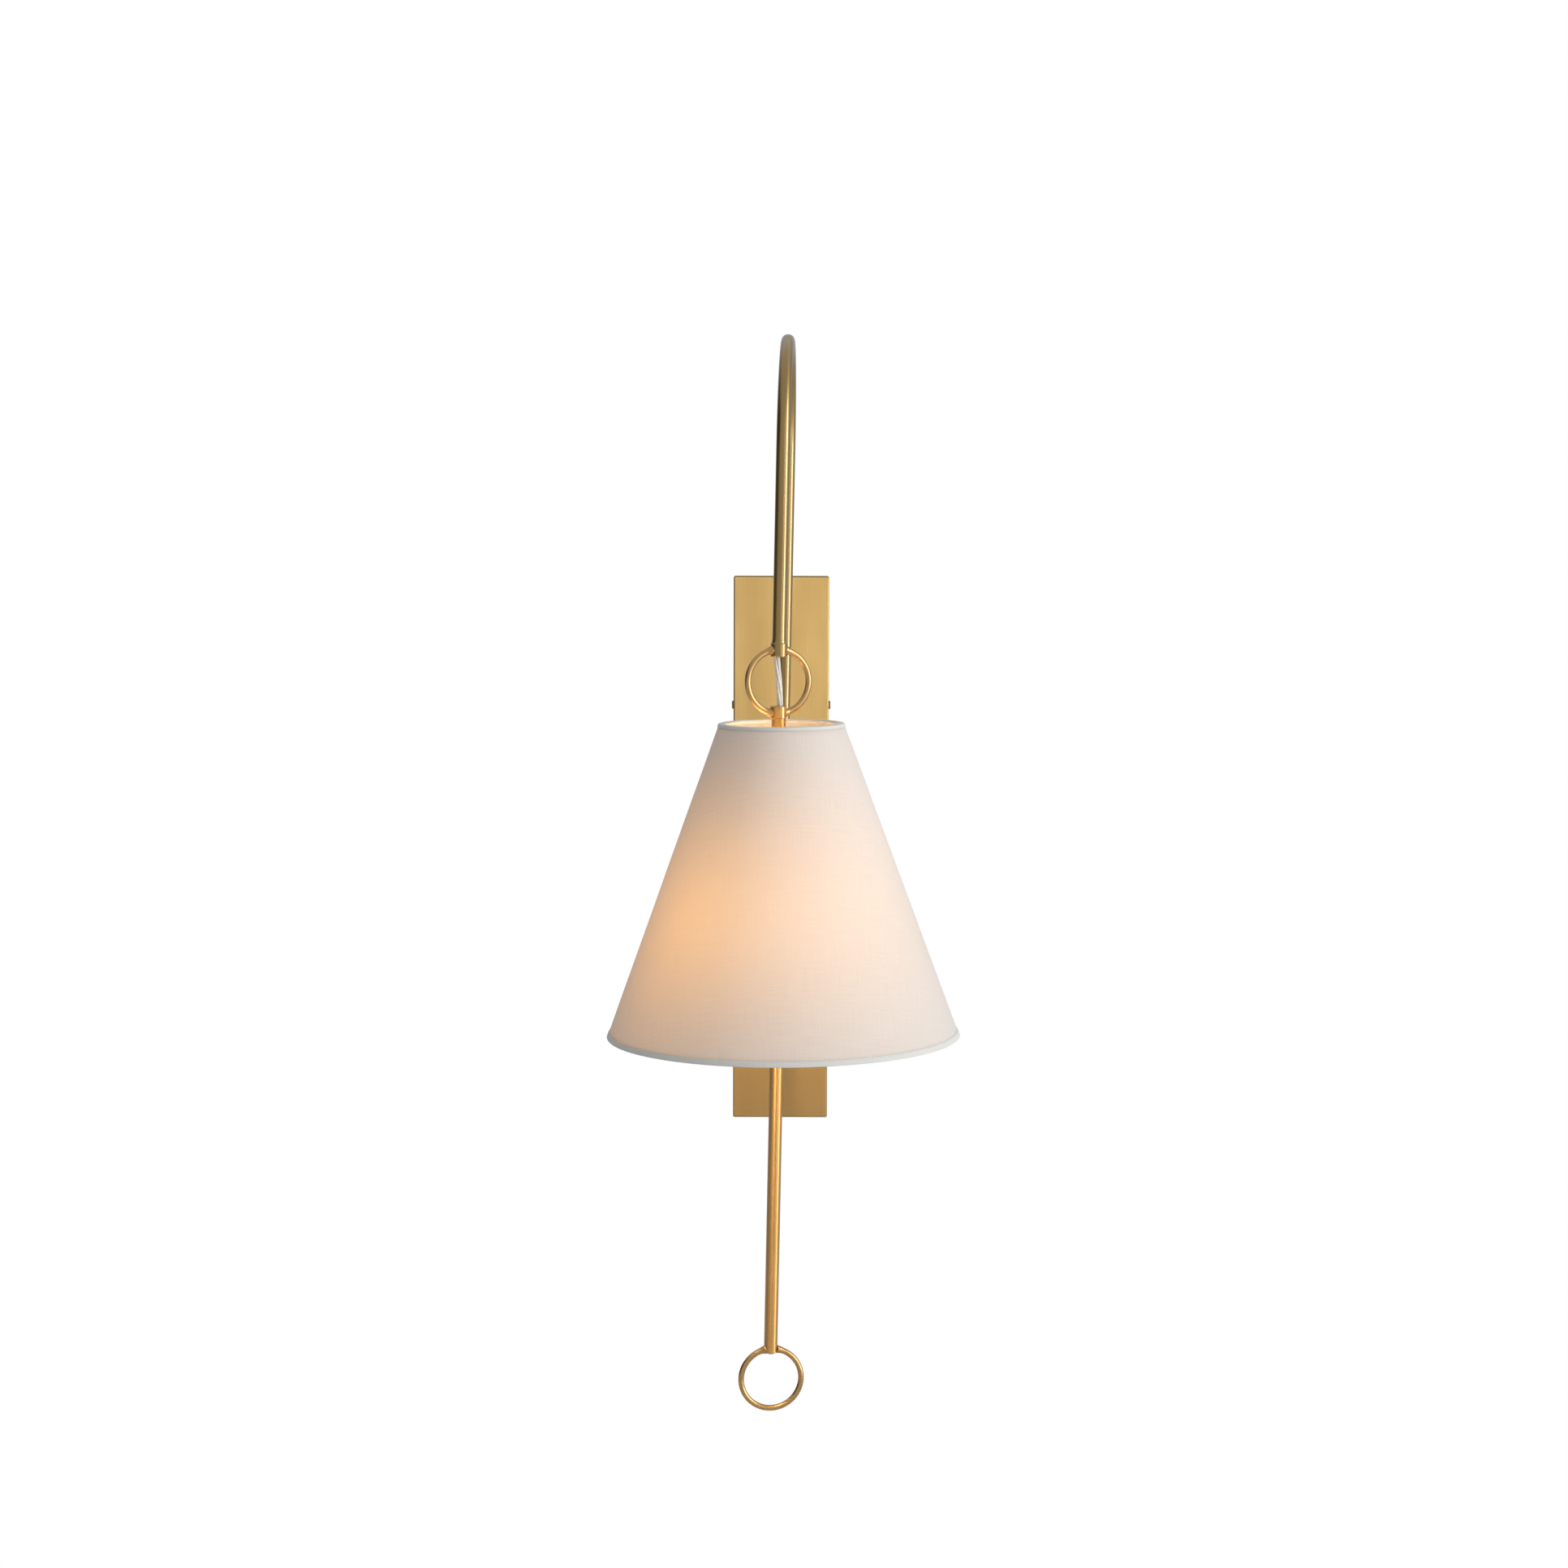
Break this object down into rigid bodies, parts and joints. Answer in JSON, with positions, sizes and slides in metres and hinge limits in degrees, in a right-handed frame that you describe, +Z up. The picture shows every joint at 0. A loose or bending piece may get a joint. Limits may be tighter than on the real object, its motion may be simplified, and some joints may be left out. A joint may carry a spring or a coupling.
{
  "type": "swing arm wall sconce",
  "caption": "Wall lamp whose bent brass arm turns about an upright rod and carries a conical linen shade under a wire link ring.",
  "frame": {"origin": "middle of the back face, on the wall", "axes": "+Z up the plate, -Y out from the wall along the arm, +X to the right of someone facing the wall"},
  "size_m": [0.255, 0.3377, 0.8361],
  "materials": {
    "plate_brass": "satin, brushed along its length",
    "arm_brass": "satin",
    "ring_brass": "satin",
    "screw_brass": "satin, darker",
    "socket_brass": "plain",
    "zinc_steel": "zinc plated",
    "dark_steel": "black oxide",
    "ground_green": "green",
    "bush_polymer": "natural",
    "cord_jacket": "clear jacket over silver braid",
    "lead_jacket": "clear jacket",
    "wire_nut": "moulded",
    "shade_linen": "fine plain weave",
    "hem_linen": "fine plain weave, rolled",
    "shade_liner": "translucent styrene",
    "shade_wire": "white powder coat",
    "fibre_sleeve": "fibre",
    "moulded_black": "moulded",
    "bulb_glass": "frosted",
    "bulb_metal": "plain",
    "filament": "lit"
  },
  "bodies": {
    "wall_mount": {"backplate_cover": "plate_brass", "side_cap_screws": "screw_brass", "mounting_strap": "zinc_steel", "ground_screw": "ground_green", "stiffener_plate": "zinc_steel", "bracket_nipple": "zinc_steel", "bracket_washer": "zinc_steel", "bracket_nut": "zinc_steel", "swivel_bracket": "arm_brass", "upper_bush": "bush_polymer", "lower_bush": "bush_polymer", "lead_in_cord": "cord_jacket", "supply_leads": "lead_jacket", "wire_nuts": "wire_nut", "ground_lead": "ground_green"},
    "swing_arm": {"upper_stop_collar": "arm_brass", "lower_stop_collar": "arm_brass", "collar_set_screws": "dark_steel", "stop_pin": "dark_steel", "crook_tube": "arm_brass", "pull_rod": "arm_brass", "pull_ring": "ring_brass", "link_ring": "ring_brass", "upper_link_collar": "arm_brass", "lower_link_collar": "arm_brass", "socket_stem": "arm_brass", "shade_linen": "shade_linen", "shade_liner": "shade_liner", "shade_top_hem": "hem_linen", "shade_bottom_hem": "hem_linen", "shade_bottom_wire": "shade_wire", "shade_fitter": "shade_wire", "fitter_nut": "arm_brass", "socket_cap": "socket_brass", "socket_shell": "socket_brass", "socket_sleeve": "fibre_sleeve", "socket_insert": "moulded_black", "screw_shell": "socket_brass", "centre_contact": "socket_brass", "switch_bushing": "socket_brass", "bulb_glass": "bulb_glass", "bulb_base": "bulb_metal", "bulb_contact": "moulded_black", "bulb_filament_mount": "filament", "lamp_cord": "cord_jacket"},
    "switch": {"switch_shaft": "dark_steel", "switch_knob": "moulded_black"}
  },
  "joints": [
    {"name": "arm_swing", "type": "hinge", "parent": "wall_mount", "child": "swing_arm", "pos_m": [0, -0.05, 0], "axis": [0.0173, 0, 0.9999], "range_deg": [-53, 56]},
    {"name": "switch_turn", "type": "hinge", "parent": "swing_arm", "child": "switch", "pos_m": [-0.00165, -0.20998, 0.07706], "axis": [0.9995, -0.0293, 0.0087], "continuous": true}
  ]
}
